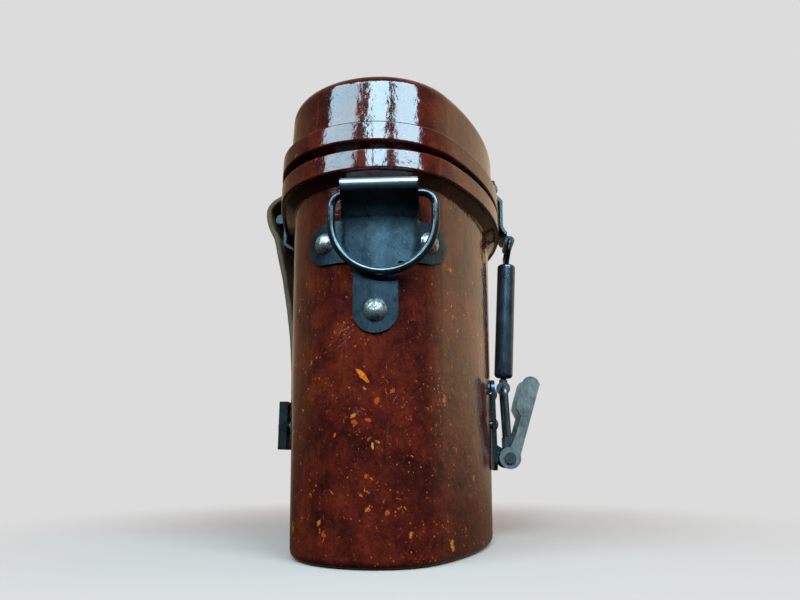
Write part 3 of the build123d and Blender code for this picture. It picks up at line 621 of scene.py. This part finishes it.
def make_floor():
    """Pale disc whose shaded middle fades into the paper grey."""
    n, radii = 96, [0.0, 0.3, 0.8, 1.6, 3.0, 6.0, 14.0]
    level = -0.3
    turns = [2 * math.pi * i / n for i in range(n)]
    verts, faces = [(0, 0, level)], []
    for r in radii[1:]:
        verts += [(r / MM * math.cos(a), r / MM * math.sin(a), level) for a in turns]
    for i in range(n):
        faces.append((0, 1 + i, 1 + (i + 1) % n))
        for k in range(len(radii) - 2):
            a, b = 1 + k * n + i, 1 + k * n + (i + 1) % n
            faces.append((a, a + n, b + n, b))
    m = Mat("paper_floor")
    far = m.math("SQRT", m.math("ADD", m.math("POWER", m.x, 2.0), m.math("POWER", m.y, 2.0)))
    fade = m.step(far, 80.0, 250.0)
    glow = m.add("ShaderNodeEmission")
    glow.inputs["Color"].default_value = (*PAPER, 1.0)
    blend = m.add("ShaderNodeMixShader")
    m.link(fade, blend.inputs[0])
    m.link(m.bsdf.outputs[0], blend.inputs[1])
    m.link(glow.outputs[0], blend.inputs[2])
    out = next(x for x in m.t.nodes if x.type == "OUTPUT_MATERIAL")
    m.link(blend.outputs[0], out.inputs["Surface"])
    mat = m.surface((0.565, 0.435, 0.385), 0.9, Specular_IOR_Level=0.0)
    floor = new_object("floor", verts, faces, mat)
    floor.visible_glossy = False
    floor.visible_diffuse = False


make_floor()


def make_world():
    """Dim behind the camera and bright beyond the case; the camera itself sees plain paper grey."""
    world = bpy.data.worlds.new("studio")
    bpy.context.scene.world = world
    world.use_nodes = True
    t = world.node_tree
    t.nodes.clear()

    def node(kind, **props):
        n = t.nodes.new(kind)
        for k, v in props.items():
            setattr(n, k, v)
        return n

    coord = node("ShaderNodeTexCoord")
    split = node("ShaderNodeSeparateXYZ")
    t.links.new(coord.outputs["Generated"], split.inputs[0])
    x, y, z = split.outputs

    def ramp(socket, stops):
        fit = node("ShaderNodeMapRange")
        t.links.new(socket, fit.inputs["Value"])
        fit.inputs["From Min"].default_value = -1.0
        r = node("ShaderNodeValToRGB")
        e = r.color_ramp.elements
        while len(e) < len(stops):
            e.new(0.5)
        for el, (p, c) in zip(e, stops):
            el.position, el.color = (p + 1) / 2, (*c, 1.0)
        t.links.new(fit.outputs["Result"], r.inputs["Fac"])
        return r.outputs["Color"]

    around = ramp(x, [(-1.0, (0.012, 0.015, 0.020)), (-0.62, (0.020, 0.020, 0.020)),
                      (-0.25, (0.09, 0.066, 0.040)), (0.35, (0.66, 0.48, 0.28)), (1.0, (0.80, 0.62, 0.40))])
    rise = ramp(z, [(-1.0, (0.10, 0.10, 0.10)), (-0.10, (0.18, 0.18, 0.18)), (0.12, (1.0, 1.0, 1.0)),
                    (0.6, (1.0, 1.05, 1.15)), (1.0, (0.9, 1.0, 1.2))])
    across = ramp(y, [(-1.0, (1.1, 1.1, 1.1)), (0.0, (0.9, 0.9, 0.9)), (0.7, (0.30, 0.28, 0.25)),
                      (1.0, (0.30, 0.28, 0.25))])

    def times(a, b):
        mul = node("ShaderNodeMix", data_type="RGBA", blend_type="MULTIPLY")
        mul.inputs[0].default_value = 1.0
        t.links.new(a, mul.inputs[6])
        t.links.new(b, mul.inputs[7])
        return mul.outputs[2]

    env, back = node("ShaderNodeBackground"), node("ShaderNodeBackground")
    t.links.new(times(times(around, rise), across), env.inputs["Color"])
    back.inputs["Color"].default_value = (*PAPER, 1.0)
    path, pick, out = node("ShaderNodeLightPath"), node("ShaderNodeMixShader"), node("ShaderNodeOutputWorld")
    t.links.new(path.outputs["Is Camera Ray"], pick.inputs[0])
    t.links.new(env.outputs[0], pick.inputs[1])
    t.links.new(back.outputs[0], pick.inputs[2])
    t.links.new(pick.outputs[0], out.inputs["Surface"])


make_world()


def softbox(name, azimuth, elevation, distance, width, height, power, colour, target, glossy=True):
    """Area light. Azimuth is seen from the target: 0 towards -X, positive towards +Y."""
    a, e = math.radians(azimuth), math.radians(elevation)
    d = Vector((-math.cos(a) * math.cos(e), math.sin(a) * math.cos(e), math.sin(e)))
    data = bpy.data.lights.new(name, "AREA")
    data.shape = "RECTANGLE"
    data.size, data.size_y = width, height
    data.energy = power
    data.color = colour
    obj = bpy.data.objects.new(name, data)
    bpy.context.scene.collection.objects.link(obj)
    obj.location = Vector(target) + d * distance
    obj.rotation_euler = (-d).to_track_quat("-Z", "Y").to_euler()
    obj.visible_glossy = glossy
    return obj


# three tall windows behind the camera: azimuth, width and strength
NOSE = (-0.08, 0.0, 0.14)
MIDDLE = (0, 0, 0.08)
WINDOW_HIGH, WINDOW_FAR, WINDOW_TALL = 38.0, 1.2, 0.68
WINDOW_BLUE = (0.54, 0.83, 1.0)
WINDOWS = ((46.5, 0.67, 27.0), (2.6, 0.45, 50.0), (-37.6, 0.61, 43.0))
for i, (azimuth, width, bright) in enumerate(WINDOWS):
    power = bright * width * WINDOW_TALL
    softbox(f"window_{i}", azimuth, WINDOW_HIGH, WINDOW_FAR, width, WINDOW_TALL, power, WINDOW_BLUE, NOSE)
softbox("fill_front", -95.0, 25.0, 1.6, 0.9, 0.9, 4.0, (1.0, 0.97, 0.92), MIDDLE, False)
softbox("fill_rear", 120.0, 25.0, 1.6, 0.9, 0.9, 2.6, (1.0, 0.97, 0.92), MIDDLE, False)


def make_camera():
    yaw, pitch, roll = 0.0570, 0.2424, -0.0048
    place = Vector((-278.41, -19.49, 33.31)) * MM
    ahead = Vector((math.cos(yaw) * math.cos(pitch), math.sin(yaw) * math.cos(pitch), math.sin(pitch)))
    right = Vector((math.sin(yaw), -math.cos(yaw), 0.0))
    up = right.cross(ahead)
    right = right * math.cos(roll) + up * math.sin(roll)
    up = right.cross(ahead)
    data = bpy.data.cameras.new("camera")
    data.sensor_width, data.lens = 36.0, 28.35
    data.clip_start, data.clip_end = 0.01, 100.0
    cam = bpy.data.objects.new("camera", data)
    bpy.context.scene.collection.objects.link(cam)
    m = Matrix((right, up, -ahead)).transposed().to_4x4()
    m.translation = place
    cam.matrix_world = m
    bpy.context.scene.camera = cam


make_camera()
bpy.context.scene.view_settings.view_transform = "Standard"
